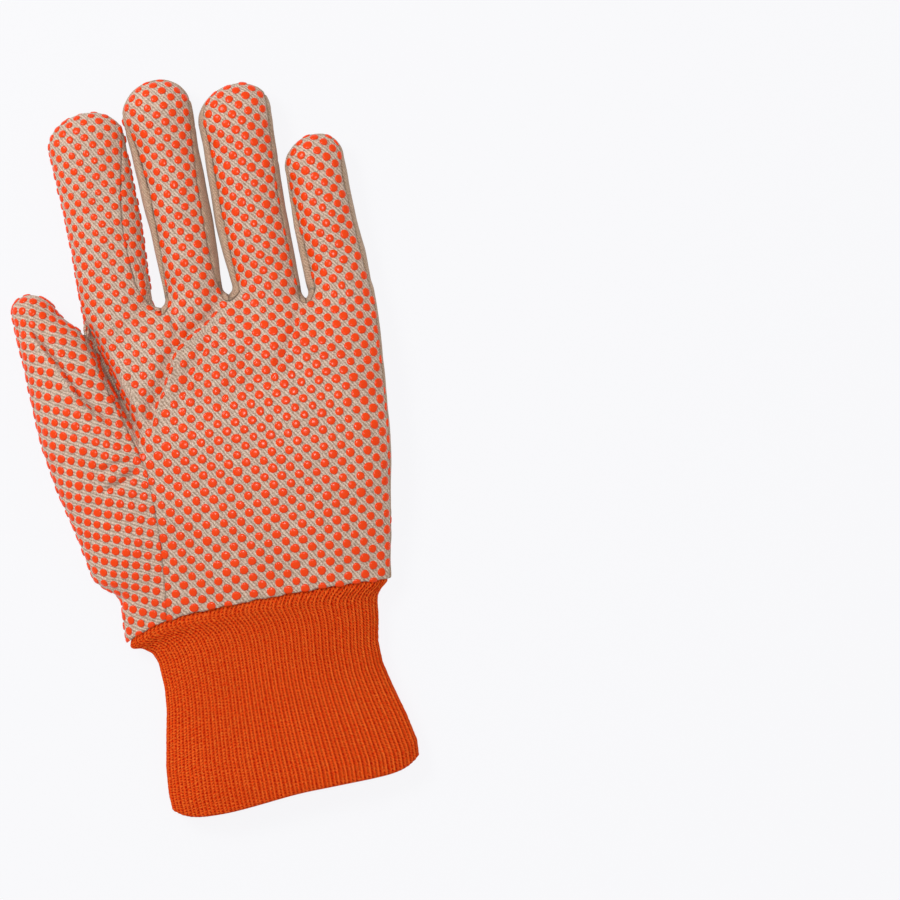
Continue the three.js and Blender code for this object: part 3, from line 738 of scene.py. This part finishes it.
class Cloth:
    """One piece of canvas: its outer face, turned down at the seams, and where each point lies in the
    flat cloth."""

    def __init__(self, name, skin):
        points, faces, names, normals = skin
        used, local = np.unique(faces[names == name], return_inverse=True)
        self.name = name
        self.smooth = points[used]
        self.faces = local.reshape(-1, 3)
        normal = normals[used]
        self.past_slit = np.zeros(len(used), bool)
        if name in SLITS:
            copies = self.open_slit(SLITS[name])
            normal = np.vstack([normal, normal[copies]])
        x, y, _ = self.smooth.T
        self.edges = border_edges(self.faces)
        middle = self.smooth[self.edges].mean(axis=1)
        at_wrist = np.abs(middle[:, 1] - wrist_line(middle[:, 0])) < 0.15
        self.seam = distance_to_edges(self.smooth, self.edges[~at_wrist])
        hem = distance_to_edges(self.smooth, self.edges[at_wrist])
        waves = noise_at(self.smooth, PUCKER["size"], 9.0)
        pucker = PUCKER["height"] * waves * np.exp(-self.seam / PUCKER["reach"])
        shallow = 1 - 0.6 * smoothstep(-y, -12, 8) * (x < 0)
        lower = np.maximum(rolled(self.seam, SEAM_ROLL) * shallow, rolled(hem, HEM_ROLL))
        self.points = self.smooth + normal * (pucker - lower)[:, None]
        self.points[:, 2] = np.maximum(self.points[:, 2], 0)
        self.normals = normals_of(self.points, self.faces)
        self.fabric = self.flat_places()

    def open_slit(self, slit):
        """Doubles the points on a seam of the cloth with itself, for the triangles on its right."""
        value = slit.field(self.smooth)
        right = side_of(value, self.faces) > 0
        on_seam = (np.abs(value) < 0.05) & slit.near(self.smooth)
        copies = np.flatnonzero(on_seam & np.isin(np.arange(len(value)), self.faces[right]))
        renumbered = np.arange(len(value))
        renumbered[copies] = len(value) + np.arange(len(copies))
        self.faces = np.where(right[:, None], renumbered[self.faces], self.faces)
        self.past_slit = np.concatenate([value > 0.05, np.ones(len(copies), bool)])
        self.smooth = np.vstack([self.smooth, self.smooth[copies]])
        return copies

    def up_finger(self, name, length):
        """A finger's middle and fork, and how far each point on it has come up a length from the fork."""
        x, y, _ = self.smooth.T
        middle, half, _, _ = PARTS[name].section(y)
        fork = min(place[1] for pair, place in FORKS.items() if name in pair)
        return middle, fork, smoothstep(y, fork, fork + length), np.abs(x - middle) < half + 1

    def flat_places(self):
        """Where each point lies in the flat cloth, with the cloth neither stretched nor squeezed."""
        x, y, z = self.smooth.T
        if self.name == "thumb":
            across = self.across("thumb", y)
        else:
            across = self.across("palm", along_palm(x, y))
            for name in FINGERS:
                _, _, share, on_finger = self.up_finger(name, 6)
                if self.name == "palm" and name == "index":
                    flap = self.past_slit & (z > INDEX_LEVEL - 0.1) & (y > SLITS["palm"].low)
                    share = np.where(flap, 1.0, share)
                across += share * on_finger * (self.across(name, y) - across)
        free = (y >= EVENED[0]) & (y <= EVENED[1]) & (x <= FORKS[EVENED_TO][0])
        flat = relaxed(np.stack([across, y], axis=1), self.faces, 80, free[:, None])
        flat = unstretched(flat, self.smooth, self.faces)
        if self.name == "palm":
            flat = self.fanned(flat)
        turn = math.radians(THUMB_TURN if self.name == "thumb" else 0.0)
        return flat @ np.array([[math.cos(turn), -math.sin(turn)], [math.sin(turn), math.cos(turn)]])

    def fanned(self, flat):
        """The flat places with the fingers fanned out as they are cut."""
        share = smoothstep(self.smooth[:, 1], BUNCHED["start"], BUNCHED["end"])[:, None]
        origin = np.array([BUNCHED["middle"], BUNCHED["start"]])
        flat = flat + np.array([BUNCHED["width"], BUNCHED["length"]]) * share * (flat - origin)
        moved = flat
        for name, (degrees, width) in FINGER_TURN.items():
            middle, fork, share, on_finger = self.up_finger(name, 14)
            share = share * on_finger
            turn = -math.radians(degrees) * share
            u = (flat[:, 0] - middle.mean()) * (1 + share * (1 / width - 1))
            v = flat[:, 1] - fork
            cos, sin = np.cos(turn), np.sin(turn)
            turned = np.stack([u * cos - v * sin, u * sin + v * cos], axis=1)
            moved = np.where(share[:, None] > 0, turned + (middle.mean(), fork), moved)
        return moved

    def across(self, name, y):
        """How far across the flat cloth each point lies, by the section of one part."""
        x, _, z = self.smooth.T
        part = PARTS[name]
        middle, half, _, _ = part.section(y)
        by_plan = smoothstep(y, part.shoulder - 3, part.shoulder - 1)
        if name == "palm":
            by_plan = 1 - smoothstep(np.abs(x - middle) / half, 0.8, 0.97)
        angle = part.angle(x, y, z, by_plan)
        if self.name.startswith("back"):
            angle += math.tau * (angle < math.tau / 4)
            return middle + part.unrolled(y, angle) - part.unrolled(y, np.array(0.75 * math.tau))
        if name == "index":
            angle += math.tau * (self.past_slit & (angle < math.pi))
        if name == "thumb":
            angle -= math.tau * (self.past_slit & (angle > math.pi))
        return middle - part.unrolled(y, angle)


def unstretched(flat, points, faces):
    """Flat places moved until neighbours are as far apart as they are on the shaped cloth."""
    times, furthest, kept_speed = 320, 5.0, 0.9
    a, b = single_edges(faces).T
    joined = np.linalg.norm(flat[b] - flat[a], axis=1) < furthest
    a, b = a[joined], b[joined]
    length = np.linalg.norm(points[b] - points[a], axis=1)
    size = len(points)
    count = np.maximum(np.bincount(a, minlength=size) + np.bincount(b, minlength=size), 1)[:, None]
    speed = np.zeros_like(flat)
    for _ in range(times):
        gap = flat[b] - flat[a]
        pull = gap * (1 - length / np.maximum(np.linalg.norm(gap, axis=1), 1e-6))[:, None]
        step = (lattice_sum(pull, a, size) - lattice_sum(pull, b, size)) / count
        speed = kept_speed * speed + step
        flat = flat + speed
    return flat


def placed(name, data):
    """A new object in the scene."""
    made = bpy.data.objects.new(name, data)
    bpy.context.scene.collection.objects.link(made)
    return made


def built(name, points, faces, material, fabric=None):
    """A mesh object from points in millimetres."""
    mesh = bpy.data.meshes.new(name)
    mesh.from_pydata((np.array(points, float) * MM).tolist(), [], np.array(faces).tolist())
    if fabric is not None:
        attribute = mesh.attributes.new("fabric", "FLOAT_VECTOR", "POINT")
        attribute.data.foreach_set("vector", np.ascontiguousarray(fabric, np.float32).ravel())
    mesh.polygons.foreach_set("use_smooth", [True] * len(mesh.polygons))
    mesh.materials.append(material)
    mesh.update()
    return placed(name, mesh)


def cloth_object(cloth, name, material):
    """A piece of canvas with its thickness, as a closed mesh."""
    count = len(cloth.points)
    inner = relaxed(cloth.points - cloth.normals * CANVAS, cloth.faces, 2)
    inner[:, 2] = np.maximum(inner[:, 2], 0.5)
    a, b = cloth.edges.T
    rim = np.vstack([np.stack([b, a, a + count], axis=1), np.stack([b, a + count, b + count], axis=1)])
    faces = np.vstack([cloth.faces, cloth.faces[:, ::-1] + count, rim])
    # The distance to the seams goes along with the flat places; the material paints shade from it.
    fabric = np.column_stack([cloth.fabric, cloth.seam])
    return built(name, np.vstack([cloth.points, inner]), faces, material, np.vstack([fabric, fabric]))


# Rubber dots: the two steps of their lattice in the flat cloth, and their size
DOT_STEPS = {
    "palm": [(3.48, 2.6), (-2.65, 3.17)],
    "thumb": [(3.0, 2.7), (-2.55, 3.0)],
}
DOT_RADIUS = 1.57
# The dots' size away from the palm, where the cloth is drawn in
DOT_SHARE = {"thumb": 0.94, "index": 0.84, "middle": 0.91, "ring": 0.96, "little": 0.96}
DOT_SIDES = 12
# Rings of a dot from its foot to near its crown: share of the radius, and height over the cloth
DOT_RINGS = [(1.0, -0.12), (1.0, 0.16), (0.93, 0.36), (0.7, 0.47), (0.34, 0.52)]
DOT_CROWN = 0.54
DOT_UNDER = -0.15
DOT_APART = 2.6  # nearer ones of the same lattice place are one dot


def area_of(a, b):
    """The area between each two steps in the plane, less than 0 where the second is to the right."""
    return a[:, 0] * b[:, 1] - a[:, 1] * b[:, 0]


def dot_places(cloth):
    """Where the dots of the lattice fall on the cloth: each place and the triangle that it is on."""
    wander = np.stack([noise_at(cloth.smooth, 17.0, 3.0), noise_at(cloth.smooth, 19.0, 4.0)], axis=1)
    grid = np.linalg.solve(np.array(DOT_STEPS[cloth.name]).T, (cloth.fabric + 0.3 * wander).T).T
    a, b, c = grid[cloth.faces.T]
    node = np.round((a + b + c) / 3)
    ab, ac, ap = b - a, c - a, node - a
    area = area_of(ab, ac)
    area = np.where(np.abs(area) < 1e-12, 1e-12, area)
    s, t = area_of(ap, ac) / area, area_of(ab, ap) / area
    size = np.abs(ab).max(axis=1) + np.abs(ac).max(axis=1)
    places, taken = [], {}
    for number in np.flatnonzero((s >= 0) & (t >= 0) & (s + t < 1) & (size < 2)):
        p, q, r = cloth.points[cloth.faces[number]]
        place = p + s[number] * (q - p) + t[number] * (r - p)
        others = taken.setdefault(tuple(node[number]), [])
        if all(np.linalg.norm(place - other) > DOT_APART for other in others):
            others.append(place)
            places.append((place, number))
    return places


def dot_share(cloth, x, y):
    """The size of a dot against those low on the palm."""
    if cloth.name in DOT_SHARE:
        return DOT_SHARE[cloth.name]
    finger = list(FINGERS)[sum(x > place[0] for place in FORKS.values())]
    return 1 + (DOT_SHARE[finger] - 1) * smoothstep(y, 5, 45)


def dot_faces():
    """The triangles of one dot: its rings, its crown and its underside."""
    last = (len(DOT_RINGS) - 1) * DOT_SIDES
    top = last + DOT_SIDES
    faces = []
    for k in range(DOT_SIDES):
        after = (k + 1) % DOT_SIDES
        for ring in range(0, last, DOT_SIDES):
            i, j = ring + k, ring + after
            faces += [(i, j, j + DOT_SIDES), (i, j + DOT_SIDES, i + DOT_SIDES)]
        faces += [(last + k, last + after, top), (after, k, top + 1)]
    return np.array(faces)


def dots_object(cloth, name, material):
    """All the dots of a cloth as one mesh. Each is a low dome that follows the cloth under it."""
    tree = BVHTree.FromPolygons(cloth.points.tolist(), cloth.faces.tolist())
    rng = np.random.default_rng(7)
    one = dot_faces()
    points, faces = [], []
    for place, number in dot_places(cloth):
        normal = Vector(cloth.normals[cloth.faces[number]].mean(axis=0)).normalized()
        side = normal.cross(Vector((0, 1, 0)) if abs(normal.y) < 0.9 else Vector((1, 0, 0))).normalized()
        other = normal.cross(side)
        radius = DOT_RADIUS * dot_share(cloth, *place[:2]) * (1 + 0.04 * rng.standard_normal())
        phase = rng.uniform(0, math.tau)
        stretch = 1 + 0.05 * rng.standard_normal()
        faces.append(one + len(points))
        for (share, height), k in product(DOT_RINGS, range(DOT_SIDES)):
            turn = math.tau * k / DOT_SIDES
            reach = radius * share * (1 + 0.03 * math.sin(3 * turn + phase))
            spot = Vector(place) + side * (reach * math.cos(turn) * stretch)
            spot += other * (reach * math.sin(turn))
            foot, facing, _, _ = tree.find_nearest(spot)
            points.append(foot + (facing + normal).normalized() * height)
        crown = tree.find_nearest(Vector(place))[0]
        points += [crown + normal * DOT_CROWN, crown + normal * DOT_UNDER]
    return built(name, points, np.vstack(faces), material)


# The knitted wrist: both edges, the height and how far the underside is raised, by share of its length from
# the canvas to the mouth. It starts inside the canvas.
CUFF = table(
    "share left right top base",
    (-0.05, -44.2, 47.6, 10.9, 1.6), (-0.015, -44.4, 48.2, 11.5, 1.6), (0.005, -45.4, 49, 12.7, 0.4),
    (0.03, -46.1, 47.4, 13.1, 0), (0.055, -45.6, 45.4, 12.8, 0), (0.085, -41.8, 44, 12.1, 0),
    (0.13, -38.9, 43.5, 11.4, 0), (0.2, -37.4, 42.9, 11, 0), (0.34, -37, 41.1, 10.8, 0),
    (0.46, -37.8, 41.2, 11, 0), (0.6, -39.8, 43.2, 11.6, 0), (0.76, -41.9, 45.8, 12.4, 0),
    (0.92, -42.9, 47.8, 13.2, 0), (1, -42.7, 47.4, 12.6, 0),
)
CUFF_LINES = {name: column(CUFF, name, 0.01, "share") for name in ("left", "right", "top", "base")}
CUFF_START = -0.035
MOUTH = dict(y=-128.9, start=-25.0, end=8.0, rise=1.9, corner=4.2, corner_power=10)
CUFF_LENGTH = WRIST_SEAM["y"] - MOUTH["y"]
WALES = 130
WALE_COLUMNS = 4
WALE_DEPTH = 0.55
COURSE = 1.17  # height of a row of stitches
STITCH_SLANT = 0.42  # how far each leg of a stitch slopes along the wale
STITCH_DEPTH = 0.12
FOLD_RINGS = 7  # of the knit's fold at the mouth
INNER_RINGS = 26


def mouth_line(x, across):
    rise = MOUTH["rise"] * smoothstep(x, MOUTH["start"], MOUTH["end"])
    return MOUTH["y"] + rise + MOUTH["corner"] * np.abs(across) ** MOUTH["corner_power"]


def cuff_ring(share, inset, turn):
    """Points round the wrist at a share of its length, moved in by an inset."""
    left, right = CUFF_LINES["left"](share) + inset, CUFF_LINES["right"](share) - inset
    base, top = CUFF_LINES["base"](share) + inset, CUFF_LINES["top"](share) - inset
    middle, half = (left + right) / 2, (right - left) / 2
    side = base + (top - base) * SIDE_SHARE
    across, up = np.cos(turn), np.sin(turn)
    radius = squared_radius(across, up, CUFF_POWER + HEM_POWER * (1 - smoothstep(share, 0.01, 0.1)))
    over = side + (top - side) * radius * up
    under = side + (side - base) * np.maximum(-1, FLATTEN * radius * up)
    x = middle + half * radius * across
    seam = wrist_line(x)
    y = seam + share * (mouth_line(x, radius * across) - seam)
    return np.stack([x, y, np.where(up > 0, over, under)], axis=1)


def even_turns(count):
    """Turns that part the wrist's section into even lengths."""
    fine = np.linspace(0, math.tau, 4001)
    ring = cuff_ring(np.full(4001, 0.5), 0.0, fine)
    length = np.concatenate([[0], np.cumsum(np.linalg.norm(np.diff(ring, axis=0), axis=1))])
    return np.interp(np.arange(count) / count * length[-1], length, fine)


def cuff_object(name, material):
    """The knitted wrist as one closed mesh: ribbed outside, folded over at the mouth, and doubled inside."""
    columns = WALES * WALE_COLUMNS
    turn = even_turns(columns)
    place = np.arange(columns) % WALE_COLUMNS
    number_of = np.arange(columns) // WALE_COLUMNS
    # How far each column is set back into the rib, every second wale a little; the knit's painted shade
    # follows it too.
    valley = np.maximum(np.array([0.0, 0.55, 1.0, 0.55])[place], 0.25 * (number_of % 2))
    slant = np.array([1.0, 0.0, -1.0, 0.0])[place] * STITCH_SLANT / CUFF_LENGTH
    wale = np.arange(columns) / WALE_COLUMNS
    rng = np.random.default_rng(11)
    rings, fabric = [], []

    def add(share, inset, course):
        rings.append(cuff_ring(np.broadcast_to(share, columns), inset, turn))
        fabric.append(np.stack([wale, np.full(columns, course), valley], axis=1))

    for number, share in enumerate(np.arange(CUFF_START, 1.0, COURSE / 2 / CUFF_LENGTH)):
        shown = smoothstep(share, -0.03, 0.01)
        stitch = STITCH_DEPTH * rng.random(WALES)[number_of] * (1 - 0.5 * valley)
        add(share + slant * shown, (WALE_DEPTH * valley + stitch) * shown, number / 2)
    last = number / 2
    for step in range(1, FOLD_RINGS):
        bend = math.pi * step / FOLD_RINGS
        inset = KNIT / 2 * (1 - math.cos(bend)) + WALE_DEPTH * valley * (1 - step / 2 / FOLD_RINGS)
        add(1.0 + KNIT / 2 * math.sin(bend) / CUFF_LENGTH, inset, last + step)
    for share in np.linspace(0.98, CUFF_START, INNER_RINGS):
        add(share, KNIT + WALE_DEPTH * valley * 0.5, share * CUFF_LENGTH / COURSE)
    points = np.vstack(rings)
    points[:, 2] = np.maximum(points[:, 2], 0)
    i, j = np.arange(len(rings))[:, None], np.arange(columns)[None, :]
    after, beside = (i + 1) % len(rings), (j + 1) % columns
    corners = [i * columns + j, i * columns + beside, after * columns + beside, after * columns + j]
    return built(name, points, np.stack(corners, axis=-1).reshape(-1, 4), material, np.vstack(fabric))


def srgb(red, green, blue):
    """A colour from its screen values of 0 to 255."""
    values = [value / 255 for value in (red, green, blue)]
    linear = [v / 12.92 if v <= 0.04045 else ((v + 0.055) / 1.055) ** 2.4 for v in values]
    return (*linear, 1.0)


class Shader:
    """A material and a short way to add and link its nodes."""

    def __init__(self, name):
        self.material = bpy.data.materials.new(name)
        self.material.use_nodes = True
        self.nodes = self.material.node_tree.nodes
        self.links = self.material.node_tree.links
        self.surface = self.nodes["Principled BSDF"]
        self.place = self.add("ShaderNodeTexCoord", output="Object")

    def link(self, value, socket):
        if isinstance(value, bpy.types.NodeSocket):
            self.links.new(value, socket)
        else:
            socket.default_value = value

    def add(self, kind, inputs=(), output=0, **settings):
        node = self.nodes.new(kind)
        for key, value in settings.items():
            setattr(node, key, value)
        for key, value in dict(inputs).items():
            self.link(value, node.inputs[key])
        return node.outputs[output]

    def fabric(self):
        """The mesh's flat places and their three parts."""
        vector = self.add("ShaderNodeAttribute", output="Vector", attribute_name="fabric")
        parts = self.nodes.new("ShaderNodeSeparateXYZ")
        self.link(vector, parts.inputs[0])
        return vector, *parts.outputs

    def math(self, operation, *values):
        return self.add("ShaderNodeMath", enumerate(values), operation=operation)

    def times(self, value, factor, more=0.0):
        """A value by a factor, with more added."""
        return self.math("MULTIPLY_ADD", value, factor, more)

    def wave(self, count):
        """A wave between 0 and 1, one for each whole number of a count."""
        return self.times(self.math("SINE", self.times(count, math.tau)), 0.5, 0.5)

    def noise(self, vector, scale, detail=2.0, roughness=0.5):
        inputs = {"Vector": vector, "Scale": scale, "Detail": detail, "Roughness": roughness}
        return self.add("ShaderNodeTexNoise", inputs)

    def ranged(self, value, low, high, to_low=0.0, to_high=1.0):
        inputs = {"Value": value, "From Min": low, "From Max": high, "To Min": to_low, "To Max": to_high}
        return self.add("ShaderNodeMapRange", inputs)

    def mixed(self, share, first, second):
        return self.add("ShaderNodeMix", {0: share, 6: first, 7: second}, 2, data_type="RGBA")

    def bump(self, height, distance, strength):
        return self.add("ShaderNodeBump", {"Height": height, "Distance": distance, "Strength": strength})

    def set(self, **values):
        for key, value in values.items():
            self.link(value, self.surface.inputs[key.replace("_", " ")])


def canvas_material(name, light, dark, slope, pitch):
    """Napped twill: slanting ribs of short floats, worn and blurred by fluff; painted shade along the seams.
    """
    shader = Shader(name)
    fabric, u, v, seam = shader.fabric()
    cos, sin = math.cos(math.radians(slope)), math.sin(math.radians(slope))
    over = shader.times(u, -sin, shader.times(v, cos))
    along = shader.times(u, cos, shader.times(v, sin))
    stretched = shader.add("ShaderNodeCombineXYZ", {0: shader.times(along, 0.4), 1: over})
    drift = shader.math("SUBTRACT", shader.noise(stretched, 0.6), 0.5)
    count = shader.times(drift, 1.1, shader.times(over, 1 / pitch))
    row = shader.math("FLOOR", shader.math("ADD", count, 0.25))
    wander = shader.times(shader.noise(fabric, 0.8), 3.0)
    dash = shader.wave(shader.times(row, 0.43, shader.times(along, 1 / 0.8, wander)))
    yarn = shader.math("MULTIPLY", shader.wave(count), shader.times(dash, 0.6, 0.4))
    fluff = shader.noise(shader.place, 1900.0, 3.0, 0.65)
    patch = shader.noise(shader.place, 60.0, 3.0)
    base = shader.mixed(shader.ranged(shader.times(yarn, 0.38, fluff), 0.41, 0.87), dark, light)
    base = shader.mixed(shader.ranged(patch, 0.3, 0.7, 0.0, 0.12), base, dark)
    # Painted shade: the cloth is darkened within about a millimetre of its seams, where the crevice lies in
    # shade.
    base = shader.mixed(shader.ranged(seam, 0.1, 1.2, 0.25, 0.0), base, dark)
    shader.set(Base_Color=base, Roughness=0.95, Sheen_Weight=0.15, Sheen_Roughness=0.6)
    height = shader.bump(shader.times(yarn, 0.6, fluff), 0.00025, 0.9)
    shader.set(Specular_IOR_Level=0.1, Normal=height)
    return shader.material


def dot_material():
    """Glossy moulded rubber."""
    shader = Shader("dot_rubber")
    uneven = shader.bump(shader.noise(shader.place, 700.0), 0.0001, 0.3)
    shade = shader.ranged(shader.noise(shader.place, 120.0), 0.3, 0.7, 0.0, 0.35)
    base = shader.mixed(shade, srgb(249, 70, 4), srgb(232, 57, 1))
    shader.set(Base_Color=base, Roughness=0.2, Specular_IOR_Level=0.27, Normal=uneven)
    return shader.material


def knit_material():
    """Rib knit: two slanting legs to a stitch, painted shade between the ribs and on every second wale, with
    a little fluff.
    """
    shader = Shader("rib_knit")
    fabric, wale, course, valley = shader.fabric()
    row = shader.math("FLOOR", wale)
    leg = shader.math("SUBTRACT", shader.math("FRACT", wale), 0.5)
    start = shader.add("ShaderNodeTexWhiteNoise", {"W": row}, noise_dimensions="1D")
    wander = shader.times(shader.noise(fabric, 0.7), 2.0, start)
    along = shader.times(course, 1.15, shader.times(leg, 0.9))
    stitch = shader.wave(shader.math("ADD", along, wander))
    fluff = shader.noise(shader.place, 1700.0, 3.0, 0.65)
    patch = shader.noise(shader.place, 70.0, 3.0)
    tone = shader.ranged(shader.times(stitch, 0.15, fluff), 0.4, 0.8)
    base = shader.mixed(tone, srgb(252, 58, 0), srgb(255, 134, 50))
    # Painted shade: every second wale, set back in the mesh, is darkened as if in shade.
    base = shader.mixed(shader.times(shader.math("MODULO", row, 2.0), 0.3), base, srgb(220, 48, 0))
    # Painted shade: the grooves between the ribs and the holes between stitches are darkened, most where the
    # mesh is set back most.
    gap = shader.math("MULTIPLY", shader.ranged(valley, 0.2, 0.8), shader.times(stitch, -0.75, 1.0))
    base = shader.mixed(gap, base, srgb(160, 0, 0))
    base = shader.mixed(shader.ranged(patch, 0.3, 0.7, 0.0, 0.12), base, srgb(190, 44, 0))
    height = shader.bump(shader.times(stitch, 0.7, fluff), 0.0002, 0.9)
    shader.set(Base_Color=base, Roughness=0.9, Specular_IOR_Level=0.05, Normal=height)
    return shader.material


def floor_material():
    shader = Shader("white_paper")
    shader.set(Base_Color=(0.07, 0.07, 0.07, 1), Roughness=1.0, Specular_IOR_Level=0.0)
    shader.set(Emission_Color=(0.878, 0.878, 0.897, 1), Emission_Strength=1.0)
    return shader.material


def floor():
    """The white table below."""
    reach, level = 2500, -0.3
    points = [(x * reach, y * reach, level) for x, y in ((-1, -1), (1, -1), (1, 1), (-1, 1))]
    return built("table_top", points, [(0, 1, 2, 3)], floor_material())


def lamp(name, place, size, power):
    """A square lamp that shines at the glove's middle; its place in millimetres."""
    light = bpy.data.lights.new(name, "AREA")
    light.size = size * MM
    light.energy = power
    made = placed(name, light)
    made.location = Vector(place) * MM
    made.rotation_euler = (-Vector(place)).to_track_quat("-Z", "Y").to_euler()


def studio():
    """Even white light from all round, a large lamp from the upper left and a small one by the camera."""
    world = bpy.data.worlds.new("studio")
    world.use_nodes = True
    world.node_tree.nodes["Background"].inputs["Color"].default_value = (1, 1, 1, 1)
    world.node_tree.nodes["Background"].inputs["Strength"].default_value = 0.5
    bpy.context.scene.world = world
    lamp("key", (-520, 620, 900), 420, 6.4)
    lamp("highlight", (90, 40, 1500), 120, 4.2)
    bpy.context.scene.view_settings.view_transform = "Standard"


def camera():
    """Straight above, turned as the glove is seen."""
    lens = bpy.data.cameras.new("camera")
    lens.lens = 200
    lens.sensor_width = 36
    lens.clip_end = 10
    made = placed("camera", lens)
    up = Vector((0.196, 0.981, 0)).normalized()
    right = up.cross(Vector((0, 0, 1)))
    turned = Matrix((right, up, Vector((0, 0, 1)))).transposed()
    made.matrix_world = Matrix.Translation(Vector((79.3, -19.2, 1783.0)) * MM) @ turned.to_4x4()
    bpy.context.scene.camera = made


def glove():
    points, faces, names = regions()
    skin = points, faces, names, normals_of(points, faces)
    dotted = canvas_material("dotted_canvas", srgb(246, 220, 199), srgb(156, 129, 107), -59.5, 1.15)
    plain = canvas_material("plain_canvas", srgb(226, 196, 168), srgb(160, 130, 106), 58, 0.8)
    rubber = dot_material()
    for name, node, material in (
        ("palm", "dotted_palm", dotted),
        ("thumb", "dotted_thumb", dotted),
        ("back_middle", "back_middle", plain),
        ("back_ring", "back_ring", plain),
        ("back_little", "back_little", plain),
    ):
        cloth = Cloth(name, skin)
        made = cloth_object(cloth, node + "_cloth", material)
        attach(made, "root")
        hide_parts(node)
        if name in DOT_STEPS:
            made = dots_object(cloth, node + "_dots", rubber)
            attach(made, "root")
    wrist = cuff_object("knitted_wrist", knit_material())
    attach(wrist, "root")
    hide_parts("knit_cuff")


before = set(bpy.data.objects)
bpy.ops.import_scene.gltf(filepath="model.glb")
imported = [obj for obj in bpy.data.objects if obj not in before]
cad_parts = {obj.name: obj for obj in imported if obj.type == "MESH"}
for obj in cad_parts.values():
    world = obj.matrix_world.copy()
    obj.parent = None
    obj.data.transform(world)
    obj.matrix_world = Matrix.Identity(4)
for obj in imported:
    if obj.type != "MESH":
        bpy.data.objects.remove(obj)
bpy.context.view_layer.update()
glove()
floor()
studio()
camera()
